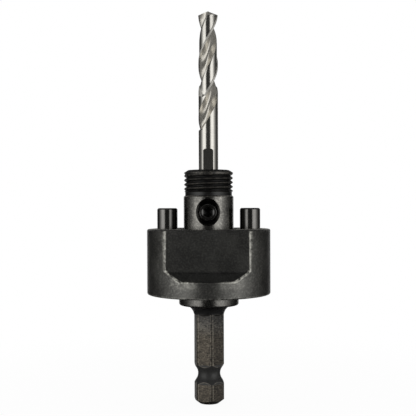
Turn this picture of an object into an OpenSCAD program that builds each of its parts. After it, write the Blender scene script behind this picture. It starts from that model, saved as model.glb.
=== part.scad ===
// Arbor for hole saws: hex shank, sliding drive collar with two pins, threaded nose and pilot drill.
// Z runs up the tool's axis from the end of the shank; the set screw faces -Y and the pins lie on X.

/* [Hex shank] */
// width across the flats
shank_af = 9; // [8:0.1:10]
// how much is turned off each corner of the hexagon
corner_trim = 0.2; // [0:0.05:0.4]
// length of the hexagon, from its end face
shank_len = 28.5; // [24:0.1:40]
// length of the chamfer at the end
end_chamfer_len = 1.4; // [0.8:0.1:2.5]
// depth of that chamfer, from the corners inwards
end_chamfer_in = 1.85; // [1:0.05:2.5]
// angle of the hexagon's front corner, to the right of the set screw
shank_turn = 12; // [0:1:30]
// height of the middle of the locking groove
groove_z = 9.7; // [8:0.1:14]
// depth of the locking groove below the flats
groove_depth = 0.9; // [0.5:0.05:1.3]
// radius of the groove's round bottom
groove_r = 3.25; // [2:0.05:5]
// angle of the groove's sides to the axis
groove_angle = 32; // [20:1:60]

/* [Flange] */
// length of the round throat between hexagon and flange
throat_len = 3.4; // [3.2:0.1:6]
// how far the throat stands out over the flats
throat_step = 0.35; // [0.2:0.05:0.6]
// radius of the fillet under the flange
throat_fillet = 3.6; // [1.5:0.1:4]
// width of the flange outside the key, which carries the collar
flange_lip = 0.7; // [0.4:0.1:4]
// thickness of the flange
flange_t = 3.6; // [2.5:0.1:6]
// rounding of the flange's lower edge
flange_round = 0.7; // [0.2:0.1:1.2]

/* [Spindle body] */
// diameter of the neck, which is also the width across the key's flats
neck_d = 16.2; // [15.9:0.05:17]
// length of neck that shows above the resting collar
neck_h = 10.8; // [9:0.1:12]
// edge break at the neck's shoulder
neck_chamfer = 0.35; // [0.1:0.05:0.8]
// how far the round sides of the double-D key stand out over the neck
key_rise = 0.9; // [0.7:0.01:1.3]
// depth of the key's top below the resting collar's face
key_sink = 1; // [0.5:0.1:3]
// running clearance of the collar on key and neck, per side
key_fit = 0.08; // [0.03:0.01:0.1]

/* [Threaded nose] */
// height of the nose above the shoulder
nose_h = 8.3; // [7:0.1:12]
// outside diameter of the thread
thread_d = 15.875; // [14:0.125:15.875]
// pitch of the thread, shown in the solid as ring grooves
thread_pitch = 1.41; // [1:0.01:2]
// depth of those grooves
thread_depth = 0.8; // [0.5:0.05:1]
// width left at each crest
thread_crest = 0.3; // [0.15:0.05:0.5]
// distance of the uppermost groove from the top of the nose
thread_top = 0.85; // [0.5:0.05:2]
// depth of the plain band below the thread
relief_depth = 0.34; // [0.2:0.01:0.9]
// height of the plain band
relief_h = 1.5; // [0.8:0.1:2.5]
// height of the chamfer at the top
nose_chamfer = 0.8; // [0.4:0.1:1.5]
// depth of that chamfer, from the thread inwards
nose_chamfer_in = 1.3; // [0.8:0.1:2]

/* [Pilot drill] */
// diameter of drill and shank
drill_d = 6.35; // [6:0.05:6.6]
// overall length
drill_len = 76.2; // [72:0.1:90]
// included angle of the point
point_angle = 135; // [118:1:140]
// relief behind each cutting lip
lip_relief = 9; // [5:1:14]
// angle of the first cutting lip, seen from above
lip_turn = -2.4; // [-90:0.1:90]
// length of one turn of the flutes
flute_lead = 34; // [28:0.5:42]
// length of the longer flute, from the point
flute_len = 38.8; // [34:0.1:44]
// how much sooner the other flute runs out
flute_stagger = 4.2; // [0:0.1:6]
// length over which a flute rises to the surface
flute_runout = 3.6; // [2:0.1:6]
// angle taken by each land
land_angle = 88; // [70:1:95]
// angle taken by the raised margin at the land's leading edge
margin_angle = 14; // [8:1:24]
// depth that the lands are cleared to behind the margin
land_clear = 0.28; // [0.1:0.01:0.4]
// length of the cleared lands, from the point
land_len = 28; // [22:0.1:32]
// thickness of the web between the flutes
web_t = 1.45; // [1:0.05:2]
// edge break at the drill's lower end
butt_chamfer = 0.3; // [0.1:0.05:0.6]
// depth of the clamping flat
flat_depth = 0.45; // [0.3:0.05:0.7]
// length of the clamping flat, from the drill's end
flat_len = 31.4; // [16:0.1:32]
// corner radius at the top of the flat
flat_corner = 1; // [0.4:0.1:1.4]
// depth of the bore for the drill, from the top of the nose
bore_depth = 24.6; // [22:0.1:24.9]
// angle of the bore's drilled bottom
bore_tip_angle = 118; // [90:1:150]
// sliding clearance of the drill in its bore, per side
drill_fit = 0.05; // [0.02:0.01:0.1]

/* [Set screw] */
// outside diameter of the screw
screw_d = 6; // [5:0.1:6.6]
// length of the screw
screw_len = 4; // [3:0.1:4.6]
// neck left between the countersink and the shoulder
screw_edge = 0.9; // [0.5:0.1:1.6]
// width across the flats of its socket
socket_af = 3; // [2.5:0.1:3.4]
// depth of its socket
socket_depth = 2.2; // [1.5:0.1:2.4]
// edge break at the screw's outer end
screw_chamfer = 0.4; // [0.2:0.05:0.7]
// width of the flat rim around the socket's dished mouth
socket_rim = 0.1; // [0.05:0.05:0.6]
// diameter of the cup point
cup_d = 3; // [2:0.1:4]
// diameter of the countersink on the neck
sink_d = 8.8; // [7.4:0.1:9.2]
// included angle of the countersink
sink_angle = 60; // [60:1:90]
// clearance of the screw in its hole, per side
screw_fit = 0.05; // [0.02:0.01:0.1]

/* [Drive collar] */
// height
collar_h = 21; // [19:0.1:26]
// rounding of the two rims
collar_round = 0.6; // [0.2:0.1:1.2]
// depth of each wrench flat below the collar's round
wrench_depth = 4.8; // [3:0.1:6]
// length of the wrench flats, from the top
wrench_h = 12.6; // [10:0.1:14]
// height of the slope under each flat
wrench_slope_h = 3; // [2:0.1:5]
// width of the ledge left below the slope under each flat
wrench_ledge = 1.95; // [0.5:0.05:2.5]
// edge break around the collar's bore
bore_chamfer = 0.5; // [0.2:0.1:0.8]

/* [Drive pins] */
// diameter of the pins
pin_d = 6.6; // [6:0.1:7]
// metal between each pin and the flat of the collar's bore
pin_web = 1.97; // [1.5:0.01:3]
// metal between each pin and the collar's round
pin_wall = 3.25; // [2.5:0.05:6]
// how far the pins stand above the collar
pin_proud = 6.8; // [5:0.1:9]
// edge break at the pins' ends
pin_chamfer = 0.35; // [0.1:0.05:0.8]
// how far the pins' lower ends lie inside the collar
pin_sink = 0.4; // [0.1:0.1:1.5]
// clearance of the fitted pins, per side
pin_fit = 0.01; // [0.005:0.005:0.02]

/* [Detent] */
// diameter of the ball
ball_d = 3.5; // [3:0.1:3.6]
// how far the ball stands out of the key
ball_proud = 0.8; // [0.5:0.1:1]
// metal left below the groove that the ball runs in
slot_wall = 1.15; // [0.8:0.05:2]
// depth of the ball's hole
ball_hole_depth = 4.8; // [4.4:0.1:4.9]
// clearance around the ball
ball_gap = 0.1; // [0.05:0.05:0.2]
// wire diameter of the spring
wire_d = 0.4; // [0.3:0.05:0.45]
// turns of the spring
spring_turns = 3; // [2.5:0.5:3.5]

/* [Hidden] */
$fn = 96;

over = 1;
seat = 0.05;
stop_gap = 0.3;

z_throat = shank_len;
z_flange = z_throat + throat_len;
z_collar = z_flange + flange_t;
z_collar_top = z_collar + collar_h;
z_shoulder = z_collar_top + neck_h;
z_nose = z_shoulder + nose_h;
z_bore = z_nose - bore_depth;
z_screw = z_shoulder - screw_edge - sink_d / 2;
travel = neck_h - stop_gap;
z_ball = z_collar + slot_wall + travel + ball_d / 2 + ball_gap;

corner_r = shank_af / 2 / cos(30) - corner_trim;
throat_r = shank_af / 2 + throat_step;
groove_min_r = shank_af / 2 - groove_depth;
key_r = neck_d / 2 + key_rise;
flange_r = key_r + flange_lip;
relief_r = thread_d / 2 - relief_depth;
pin_x = neck_d / 2 + key_fit + pin_web + pin_d / 2;
collar_r = pin_x + pin_d / 2 + pin_wall;
wrench_y = collar_r - wrench_depth;
wrench_slope = wrench_depth - wrench_ledge;

bore_r = drill_d / 2 + drill_fit;
hole_r = screw_d / 2 + screw_fit;
flat_y = drill_d / 2 - flat_depth;
screw_y = flat_y + seat;
ball_y = key_r + ball_proud - ball_d / 2;

z_butt = z_bore + seat;
z_point = z_butt + drill_len;
z_corner = z_point - drill_d / 2 / tan(point_angle / 2);
z_run = z_point - flute_len;

// disc whose upper and lower rims can be rounded by their own radii
module round_disc(r, h, low, high) {
    rotate_extrude()
        union() {
            translate([0, low]) square([r, h - low - high]);
            square([r - low, h / 2]);
            translate([0, h / 2]) square([r - high, h / 2]);
            translate([r - low, low]) circle(low);
            translate([r - high, h - high]) circle(high);
        }
}

// cylinder with a chamfer at each end
module chamfered(r, h, low, high) {
    rotate_extrude()
        polygon([[0, 0], [r - low, 0], [r, low], [r, h - high], [r - high, h], [0, h]]);
}

// hexagonal shank with turned corners, end chamfer and locking groove; its corners run on into the throat
module hex_shank() {
    top = shank_len + over;
    difference() {
        intersection() {
            rotate([0, 0, shank_turn - 90])
                cylinder(r = shank_af / 2 / cos(30), h = top, $fn = 6);
            rotate_extrude()
                polygon([[0, 0], [corner_r - end_chamfer_in, 0], [corner_r, end_chamfer_len],
                         [corner_r, top], [0, top]]);
        }
        locking_groove();
    }
}

// groove with a round bottom and straight sides that run out of it
module locking_groove() {
    mid = groove_min_r + groove_r;
    tangent_r = mid - groove_r * cos(groove_angle);
    tangent_z = groove_r * sin(groove_angle);
    side_z = tangent_z + (mid - tangent_r) / tan(groove_angle);
    translate([0, 0, groove_z])
        rotate_extrude()
            union() {
                translate([mid, 0]) circle(groove_r);
                polygon([[tangent_r, -tangent_z], [mid, -side_z], [mid, side_z], [tangent_r, tangent_z]]);
            }
}

// throat: a short slope out of the flats, then a fillet that widens to the flange
module throat() {
    r = throat_r;
    root = shank_af / 2 - 0.1;
    slope_r = r + 0.3;
    far = r + throat_fillet;
    translate([0, 0, z_throat])
        rotate_extrude()
            difference() {
                translate([0, -over]) square([far, throat_len + 1.5 * over]);
                translate([far, throat_len - throat_fillet]) circle(throat_fillet);
                polygon([[root, -2 * over], [root, 0], [slope_r, slope_r - root],
                         [far + over, slope_r - root], [far + over, -2 * over]]);
                if (throat_len > throat_fillet)
                    translate([r, -2 * over]) square([throat_fillet + over, 2 * over + throat_len - throat_fillet]);
            }
}

// double-D key: a round body with a flat on either side
module double_d(r, half, h) {
    intersection() {
        cylinder(r = r, h = h);
        translate([-half, -r - over, 0]) cube([2 * half, 2 * (r + over), h]);
    }
}

// nose: plain band, ring grooves at the thread's pitch and top chamfer
module nose() {
    r = thread_d / 2;
    wide = (thread_pitch - thread_crest) / 2;
    root = wide - thread_depth * tan(30);
    translate([0, 0, z_shoulder])
        rotate_extrude()
            difference() {
                polygon([[0, -over], [relief_r, -over], [relief_r, relief_h - relief_depth],
                         [r, relief_h], [r, nose_h - nose_chamfer],
                         [r - nose_chamfer_in, nose_h], [0, nose_h]]);
                for (z = [nose_h - thread_top : -thread_pitch : relief_h])
                    translate([r, z])
                        polygon([[0, -wide], [-thread_depth, -root], [-thread_depth, root], [0, wide],
                                 [over, wide], [over, -wide]]);
            }
}

// bore for the pilot drill with its drilled bottom and a chamfered mouth
module drill_bore() {
    tip = bore_r / tan(bore_tip_angle / 2);
    translate([0, 0, z_bore]) cylinder(r = bore_r, h = bore_depth + over);
    translate([0, 0, z_bore - tip]) cylinder(r1 = 0, r2 = bore_r, h = tip);
    translate([0, 0, z_nose - bore_chamfer])
        cylinder(r1 = bore_r, r2 = bore_r + 2 * bore_chamfer, h = 2 * bore_chamfer);
}

// tapped hole with its countersink, from the neck's front into the bore
module screw_hole() {
    mouth = sink_d / 2;
    slope = tan(sink_angle / 2);
    translate([0, 0, z_screw])
        rotate([90, 0, 0]) {
            cylinder(r = hole_r, h = neck_d / 2 + over);
            translate([0, 0, neck_d / 2 - (mouth - hole_r) / slope])
                cylinder(r1 = hole_r, r2 = mouth + over * slope, h = (mouth - hole_r) / slope + over);
        }
}

module ball_hole() {
    translate([0, key_r - ball_hole_depth, z_ball])
        rotate([-90, 0, 0]) cylinder(r = ball_d / 2 + ball_gap / 2, h = ball_hole_depth + over);
}

module spindle() {
    color("#3b3a38")
        difference() {
            union() {
                hex_shank();
                throat();
                translate([0, 0, z_flange]) round_disc(flange_r, flange_t, flange_round, 0.2);
                translate([0, 0, z_collar - over]) double_d(key_r, neck_d / 2, collar_h - key_sink + over);
                translate([0, 0, z_collar - over])
                    chamfered(neck_d / 2, z_shoulder - z_collar + over, 0.1, neck_chamfer);
                nose();
            }
            drill_bore();
            screw_hole();
            ball_hole();
        }
}

// one wrench flat with the slope and ledge below it, cut across the front
module wrench_cut() {
    far = collar_r + over;
    low = z_collar_top - wrench_h;
    translate([-far, 0, 0])
        rotate([90, 0, 90])
            linear_extrude(2 * far)
                polygon([[-wrench_y, z_collar_top + over], [-wrench_y, low],
                         [-wrench_y - wrench_slope, low - wrench_slope_h],
                         [-far, low - wrench_slope_h], [-far, z_collar_top + over]]);
}

// groove in the collar's bore that the ball runs in, closed at both ends
module ball_slot() {
    r = ball_d / 2 + ball_gap;
    depth = key_r + ball_proud + ball_gap;
    for (z = [z_ball, z_ball - travel])
        translate([0, 0, z]) rotate([-90, 0, 0]) cylinder(r = r, h = depth);
    translate([-r, 0, z_ball - travel]) cube([2 * r, depth, travel]);
}

module collar_bore() {
    r = key_r + key_fit;
    half = neck_d / 2 + key_fit;
    translate([0, 0, z_collar - over]) double_d(r, half, collar_h + 2 * over);
    translate([0, 0, z_collar_top - bore_chamfer])
        cylinder(r1 = r, r2 = r + 2 * bore_chamfer, h = 2 * bore_chamfer);
    translate([0, 0, z_collar - bore_chamfer])
        cylinder(r1 = r + 2 * bore_chamfer, r2 = r, h = 2 * bore_chamfer);
}

module drive_collar() {
    color("#33312f")
        difference() {
            translate([0, 0, z_collar + seat])
                round_disc(collar_r, collar_h - seat, collar_round, collar_round);
            wrench_cut();
            mirror([0, 1, 0]) wrench_cut();
            collar_bore();
            ball_slot();
            for (side = [-1, 1])
                translate([side * pin_x, 0, z_collar - over])
                    cylinder(r = pin_d / 2 + pin_fit, h = collar_h + 2 * over);
        }
}

module drive_pin(side) {
    color("#2c2b2a")
        translate([side * pin_x, 0, z_collar + seat + pin_sink])
            chamfered(pin_d / 2, collar_h + pin_proud - seat - pin_sink, pin_chamfer, pin_chamfer);
}

module drive_pin_left() drive_pin(-1);
module drive_pin_right() drive_pin(1);

// cup-point screw with a hexagonal socket
module set_screw() {
    r = screw_d / 2;
    cup_r = cup_d / 2;
    mouth = r - screw_chamfer - socket_rim;
    color("#222222")
        translate([0, 0, z_screw])
            rotate([90, 0, 0])
                translate([0, 0, screw_y])
                    difference() {
                        rotate_extrude()
                            polygon([[0, 0], [cup_r, 0], [r, (r - cup_r) / 2], [r, screw_len - screw_chamfer],
                                     [r - screw_chamfer, screw_len], [0, screw_len]]);
                        translate([0, 0, -0.01]) cylinder(r1 = cup_r - 0.2, r2 = 0, h = (cup_r - 0.2) / 2);
                        translate([0, 0, screw_len - socket_depth])
                            cylinder(r = socket_af / 2 / cos(30), h = socket_depth + over, $fn = 6);
                        translate([0, 0, screw_len - mouth * tan(30)])
                            cylinder(r1 = 0, r2 = mouth + over, h = (mouth + over) * tan(30));
                    }
}

// section of the fluted drill as [angle, radius] pairs: one land and one flute, the land's
// leading edge at angle 0 and its heel behind it
function land_points(r) = [
    for (a = [-land_angle, -land_angle * 0.72, -land_angle * 0.45, -margin_angle - 2])
        [a, r - land_clear],
    [-margin_angle, r], [-margin_angle / 2, r]];

function bezier(p, t) =
    pow(1 - t, 3) * p[0] + 3 * pow(1 - t, 2) * t * p[1] + 3 * (1 - t) * t * t * p[2] + pow(t, 3) * p[3];

function flute_points(r, n = 10) =
    let (pull = web_t * 0.18, gap = 180 - land_angle,
         p = [[r, 0], pull * [cos(20), sin(20)], pull * [cos(55), sin(55)],
              (r - land_clear) * [cos(gap), sin(gap)]])
    [for (i = [0 : n - 1]) let (q = bezier(p, i / n)) [atan2(q[1], q[0]), norm(q)]];

function half_section(r) = concat(land_points(r), flute_points(r));

// how much of a flute's depth is left at height z, for the flute that ends at height z0
function flute_share(z, z0) =
    let (s = min(1, max(0, (z - z0) / flute_runout))) 1 - pow(1 - s, 2);

// how much of the lands' clearance is left at height z
function land_share(z) = min(1, max(0, (z - (z_point - land_len)) / (flute_runout / 2)));

function turn_at(z) = lip_turn + (z - z_corner) * 360 / flute_lead;

// one ring of the drill at height z; side picks the longer or the shorter flute
function drill_ring(z, top = false, inset = 0) =
    let (r = drill_d / 2, half = half_section(r), cleared = len(land_points(r)), gap = 180 - land_angle)
    [for (side = [0, 1]) for (i = [0 : len(half) - 1])
        let (a = half[i][0],
             z0 = side == 1 ? z_run : z_run + flute_stagger,
             share = i < cleared ? land_share(z) : flute_share(z, z0),
             rr = (r - (r - half[i][1]) * share) * (1 - inset),
             drop = tan(lip_relief) * rr * PI / 180 * (a <= 0 ? -a : a * land_angle / gap),
             zz = top ? z_point - rr / tan(point_angle / 2) - drop : z,
             t = a + 180 * side + turn_at(zz))
        [rr * cos(t), rr * sin(t), zz]];

module fluted_part() {
    turns = (z_corner - z_run) / flute_lead;
    levels = ceil(turns * 360 / 9);
    low = z_corner - drill_d / 2 * tan(lip_relief) * PI / 180 * land_angle - 0.1;
    rings = concat([drill_ring(z_run - over, inset = 0.1), drill_ring(z_run, inset = 0.002)],
                   [for (i = [1 : levels]) drill_ring(z_run + (low - z_run) * i / levels)],
                   [drill_ring(z_corner, true)]);
    n = len(rings[0]);
    m = len(rings);
    points = concat([for (ring = rings) for (p = ring) p], [[0, 0, z_run - over]], [[0, 0, z_point]]);
    sides = [for (j = [0 : m - 2]) for (i = [0 : n - 1]) for (k = [0, 1])
        let (a = j * n + i, b = j * n + (i + 1) % n, c = a + n, d = b + n)
        k == 0 ? [a, c, b] : [b, c, d]];
    bottom = [for (i = [0 : n - 1]) [i, (i + 1) % n, m * n]];
    top = [for (i = [0 : n - 1]) [(m - 1) * n + (i + 1) % n, (m - 1) * n + i, m * n + 1]];
    polyhedron(points = points, faces = concat(sides, bottom, top));
}

module clamp_flat() {
    w = 2 * sqrt(pow(drill_d / 2, 2) - pow(flat_y, 2)) + 0.2;
    top = z_butt + flat_len;
    translate([0, -flat_y, 0])
        rotate([90, 0, 0])
            linear_extrude(over)
                union() {
                    translate([-w / 2, z_butt - over]) square([w, flat_len + over - flat_corner]);
                    translate([-w / 2 + flat_corner, z_butt]) square([w - 2 * flat_corner, flat_len]);
                    for (side = [-1, 1])
                        translate([side * (w / 2 - flat_corner), top - flat_corner]) circle(flat_corner);
                }
}

module pilot_drill() {
    r = drill_d / 2;
    color("#c9c6be") {
        difference() {
            union() {
                translate([0, 0, z_butt])
                    cylinder(r1 = r - butt_chamfer, r2 = r, h = butt_chamfer);
                translate([0, 0, z_butt + butt_chamfer])
                    cylinder(r = r, h = z_run - z_butt - butt_chamfer);
            }
            clamp_flat();
        }
        fluted_part();
    }
}

module detent_ball() {
    color("#b8b8b8") translate([0, ball_y, z_ball]) sphere(d = ball_d);
}

// coil spring between the bottom of the ball's hole and the ball
module detent_spring() {
    r = wire_d / 2;
    coil = ball_d / 2 - ball_gap - 1.5 * wire_d;
    start = key_r - ball_hole_depth + r + 0.02;
    end = ball_y - sqrt(pow(ball_d / 2, 2) - pow(coil, 2)) - r - 0.04;
    steps = spring_turns * 16;
    sides = 6;
    points = [for (j = [0 : steps]) for (i = [0 : sides - 1])
        let (t = 360 * spring_turns * j / steps, a = 360 * i / sides,
             y = start + (end - start) * j / steps, q = coil + r * cos(a))
        [q * cos(t), y + r * sin(a), z_ball + q * sin(t)]];
    walls = [for (j = [0 : steps - 1]) for (i = [0 : sides - 1]) for (k = [0, 1])
        let (a = j * sides + i, b = j * sides + (i + 1) % sides, c = a + sides, d = b + sides)
        k == 0 ? [a, b, c] : [b, d, c]];
    first = [[for (i = [sides - 1 : -1 : 0]) i]];
    last = [[for (i = [0 : sides - 1]) steps * sides + i]];
    color("#8f8f8f") polyhedron(points = points, faces = concat(walls, first, last));
}

spindle();
drive_collar();
drive_pin_left();
drive_pin_right();
set_screw();
pilot_drill();
detent_ball();
detent_spring();
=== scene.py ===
# Hole saw arbor: finished surfaces, thread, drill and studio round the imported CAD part.
import math

import bpy
import numpy as np
from mathutils import Matrix, Vector


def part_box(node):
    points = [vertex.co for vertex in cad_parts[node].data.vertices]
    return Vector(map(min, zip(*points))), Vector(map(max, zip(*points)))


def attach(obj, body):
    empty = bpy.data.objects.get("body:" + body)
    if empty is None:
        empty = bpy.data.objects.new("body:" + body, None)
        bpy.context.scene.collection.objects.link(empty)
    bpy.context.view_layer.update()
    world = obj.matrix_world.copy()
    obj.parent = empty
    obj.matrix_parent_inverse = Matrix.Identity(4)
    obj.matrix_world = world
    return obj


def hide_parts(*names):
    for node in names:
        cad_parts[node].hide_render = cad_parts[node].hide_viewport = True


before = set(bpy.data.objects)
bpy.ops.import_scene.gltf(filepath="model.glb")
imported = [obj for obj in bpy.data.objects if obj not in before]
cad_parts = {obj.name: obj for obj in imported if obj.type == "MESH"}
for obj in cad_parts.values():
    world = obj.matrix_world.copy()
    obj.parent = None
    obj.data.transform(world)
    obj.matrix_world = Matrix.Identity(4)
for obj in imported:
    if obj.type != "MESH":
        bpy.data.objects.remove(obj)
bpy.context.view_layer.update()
mm = 0.001


# heights and places that the CAD nodes give, along Z or axis 0 or 1, in mm to the nearest thousandth

def lowest(node, axis=2):
    return round(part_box(node)[0][axis] / mm, 3)


def highest(node, axis=2):
    return round(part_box(node)[1][axis] / mm, 3)


# nodes: one way to add them, for shaders and for geometry

class Signal:  # an output socket; arithmetic on it adds Math nodes
    def __init__(self, graph, socket):
        self.graph = graph
        self.socket = socket

    def out(self, key):
        return Signal(self.graph, self.socket.node.outputs[key])

    def math(self, operation, *others, clamp=False):
        values = dict(enumerate((self,) + others))
        return self.graph.node("ShaderNodeMath", {"operation": operation, "use_clamp": clamp}, values)

    def __add__(self, other):
        return self.math("ADD", other)

    def __sub__(self, other):
        return self.math("SUBTRACT", other)

    def __rsub__(self, other):
        return (-self).math("ADD", other)

    def __mul__(self, other):
        return self.math("MULTIPLY", other)

    __radd__, __rmul__ = __add__, __mul__

    def __truediv__(self, other):
        return self.math("DIVIDE", other)

    def __pow__(self, other):
        return self.math("POWER", other)

    def __neg__(self):
        return self.math("MULTIPLY", -1.0)

    def __abs__(self):
        return self.math("ABSOLUTE")

    def sin(self):
        return self.math("SINE")

    def cos(self):
        return self.math("COSINE")

    def sqrt(self):
        return self.math("SQRT")

    def least(self, other):
        return self.math("MINIMUM", other)

    def most(self, other):
        return self.math("MAXIMUM", other)

    def above(self, other):
        return self.math("GREATER_THAN", other)

    def angle(self, other):
        return self.math("ARCTAN2", other)

    def wrapped(self, size):
        return self.math("WRAP", size / 2, -size / 2)

    def clamped(self):
        return self.math("ADD", 0.0, clamp=True)

    def ramp(self, low, high, start=0.0, end=1.0, smooth=True):
        kind = "SMOOTHSTEP" if smooth else "LINEAR"
        return self.graph.node("ShaderNodeMapRange", {"interpolation_type": kind},
                               {"Value": self, "From Min": low, "From Max": high,
                                "To Min": start, "To Max": end})

    def near(self, place, width):  # 1 at a place, 0 from a width away
        return abs(self - place).ramp(0.0, width, 1.0, 0.0)


class Graph:
    def __init__(self, tree):
        self.tree = tree

    def node(self, kind, settings=None, values=None, out=0):
        made = self.tree.nodes.new(kind)
        for key, value in (settings or {}).items():
            if key == "stops":
                ramp = made.color_ramp
                while len(ramp.elements) < len(value):
                    ramp.elements.new(0.5)
                for element, (place, colour) in zip(ramp.elements, value):
                    element.position, element.color = place, colour
            else:
                setattr(made, key, value)
        for key, value in (values or {}).items():
            socket = made.inputs[key]
            if isinstance(value, Signal):
                self.tree.links.new(value.socket, socket)
            else:
                socket.default_value = value
        return Signal(self, made.outputs[out]) if made.outputs else made

    def blendColour(self, share, first, second, kind="MIX"):
        return self.node("ShaderNodeMix", {"data_type": "RGBA", "blend_type": kind},
                         {0: share, 6: first, 7: second}, out=2)

    def noise(self, place, scale, detail=3.0, rough=0.55):
        return self.node("ShaderNodeTexNoise", {}, {"Vector": place, "Scale": scale, "Detail": detail,
                                                    "Roughness": rough}, out="Fac")

    def bump(self, height, strength, distance):
        values = {"Strength": strength, "Distance": distance, "Height": height}
        return self.node("ShaderNodeBump", {}, values, out="Normal")

    def vector(self, x, y, z):
        return self.node("ShaderNodeCombineXYZ", {}, {0: x, 1: y, 2: z})

    def parts(self, place):
        split = self.node("ShaderNodeSeparateXYZ", {}, {0: place})
        return [split.out(key) for key in "XYZ"]

    def objectPlace(self):
        return self.node("ShaderNodeTexCoord", out="Object")


# meshes

def meshObject(name, vertices, faces, material=None):
    mesh = bpy.data.meshes.new(name)
    mesh.from_pydata([tuple(v) for v in vertices], [], [tuple(f) for f in faces])
    mesh.validate()
    made = bpy.data.objects.new(name, mesh)
    bpy.context.scene.collection.objects.link(made)
    if material:
        mesh.materials.append(material)
    return made


def smooth(thing, angle):
    thing.data.shade_smooth()
    thing.data.set_sharp_from_angle(angle=math.radians(angle))


def roundedPath(corners, segments=5):
    # corners are (radius, height, rounding) in mm; the first and last stay sharp
    legShare = 0.49  # of the shorter leg that a rounding may take
    out = [corners[0][:2]]
    for before, here, after in zip(corners, corners[1:], corners[2:]):
        p, q, s = (np.array(c[:2], float) for c in (before, here, after))
        if here[2] <= 0:
            out.append(tuple(q))
            continue
        back, ahead = np.linalg.norm(p - q), np.linalg.norm(s - q)
        u, v = (p - q) / back, (s - q) / ahead
        half = math.acos(max(-1, min(1, float(u @ v)))) / 2
        reach = min(here[2] / math.tan(half), legShare * back, legShare * ahead)
        for i in range(segments + 1):
            t = i / segments
            point = (1 - t) ** 2 * (q + u * reach) + 2 * (1 - t) * t * q + t * t * (q + v * reach)
            out.append(tuple(point))
    out.append(corners[-1][:2])
    return out


def divided(path, low, high, step):
    # adds points to a path wherever it runs between two heights
    out = [path[0]]
    for (r0, z0), (r1, z1) in zip(path, path[1:]):
        inside = min(max(z0, z1), high) - max(min(z0, z1), low)
        count = max(1, math.ceil(inside / step)) if inside > 0 else 1
        for i in range(1, count + 1):
            out.append((r0 + (r1 - r0) * i / count, z0 + (z1 - z0) * i / count))
    return out


def turned(name, path, angles, shape=None, material=None, ring=False):
    # a solid of revolution about Z from a path in mm, closed at both ends or into a ring; shape may change
    # its radius at any angle and height
    rows = np.array(path, float)
    n, m = len(angles), len(rows)
    r, a = np.meshgrid(rows[:, 0], angles, indexing="ij")
    z = np.repeat(rows[:, 1:2], n, axis=1)
    if shape:
        r = shape(r, a, z)
    points = np.stack([r * np.cos(a), r * np.sin(a), z], axis=2).reshape(-1, 3)
    ends = [] if ring else [[0, 0, rows[0, 1]], [0, 0, rows[-1, 1]]]
    points = np.vstack([points, ends] if ends else [points]) * mm
    faces = []
    for i in range(m if ring else m - 1):
        for j in range(n):
            k, up = (j + 1) % n, (i + 1) % m
            faces.append((i * n + j, i * n + k, up * n + k, up * n + j)[::-1 if ring else 1])
    for j in range(0 if ring else n):
        k = (j + 1) % n
        faces.append((m * n, k, j))
        faces.append((m * n + 1, (m - 1) * n + j, (m - 1) * n + k))
    return meshObject(name, points, faces, material)


def softMin(a, b, width):
    # the smaller of two radii, with the edge between them rounded
    share = np.clip(0.5 + 0.5 * (b - a) / width, 0, 1)
    return b * (1 - share) + a * share - width * share * (1 - share)


def evenAngles(count):
    return np.arange(count) * 2 * math.pi / count


def tightAngles(count, places, reach, step):
    # even angles with a finer run round each given place, all in degrees
    runs = [np.arange(0, 360, 360 / count)]
    for place in places:
        runs[0] = runs[0][np.abs((runs[0] - place + 180) % 360 - 180) > reach]
        runs.append((place + np.arange(-reach, reach + step / 2, step)) % 360)
    return np.radians(np.unique(np.round(np.concatenate(runs), 4)))


def onRay(radius, angle):
    # the point at a radius and an angle in degrees
    return radius * np.array([math.cos(math.radians(angle)), math.sin(math.radians(angle))])


def flattened(thing, name):
    # the evaluated object as a plain mesh under its own name
    bpy.context.view_layer.update()
    graph = bpy.context.evaluated_depsgraph_get()
    mesh = bpy.data.meshes.new_from_object(thing.evaluated_get(graph))
    made = bpy.data.objects.new(name, mesh)
    bpy.context.scene.collection.objects.link(made)
    bpy.data.objects.remove(thing)
    made.name = name
    return made


def cutAway(thing, cutters, name):
    for cutter in cutters:
        step = thing.modifiers.new("cut", "BOOLEAN")
        step.operation, step.solver, step.object = "DIFFERENCE", "EXACT", cutter
    made = flattened(thing, name)
    for cutter in cutters:
        bpy.data.objects.remove(cutter)
    return made


def moved(thing, *matrices):
    for matrix in matrices:
        thing.data.transform(matrix)
    return thing


def laidAlongY(thing, turn, y, z):
    # turns a piece from Z onto Y, by plus or minus 90 degrees, and sets it at a place in mm
    return moved(thing, Matrix.Rotation(math.radians(turn), 4, "X"), Matrix.Translation((0, y * mm, z * mm)))


# rules: Geometry Nodes trees with a named input for each size

def ruleTree(name, sizes):
    tree = bpy.data.node_groups.new(name, "GeometryNodeTree")
    tree.interface.new_socket("Geometry", in_out="INPUT", socket_type="NodeSocketGeometry")
    for label in sizes:
        tree.interface.new_socket(label, in_out="INPUT", socket_type="NodeSocketFloat")
    tree.interface.new_socket("Steel", in_out="INPUT", socket_type="NodeSocketMaterial")
    tree.interface.new_socket("Geometry", in_out="OUTPUT", socket_type="NodeSocketGeometry")
    graph = Graph(tree)
    return tree, graph, graph.node("NodeGroupInput")


def ruleEnd(graph, geometry, given):
    real = graph.node("GeometryNodeRealizeInstances", {}, {0: geometry})
    painted = graph.node("GeometryNodeSetMaterial", {}, {"Geometry": real, "Material": given.out("Steel")})
    graph.node("NodeGroupOutput", {}, {0: painted})


def geometryRule(thing, tree, values, name):
    # values are the tree's inputs in metres, radians or plain numbers, and the steel
    step = thing.modifiers.new("rule", "NODES")
    step.node_group = tree
    for item in tree.interface.items_tree:
        if item.item_type == "SOCKET" and item.in_out == "INPUT" and item.name in values:
            step[item.identifier] = values[item.name]
    return flattened(thing, name)


# materials

oxideTints = {"brown": (0.66, 0.565, 0.45, 1), "scratch": (0.02, 0.019, 0.017, 1)}


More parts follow.
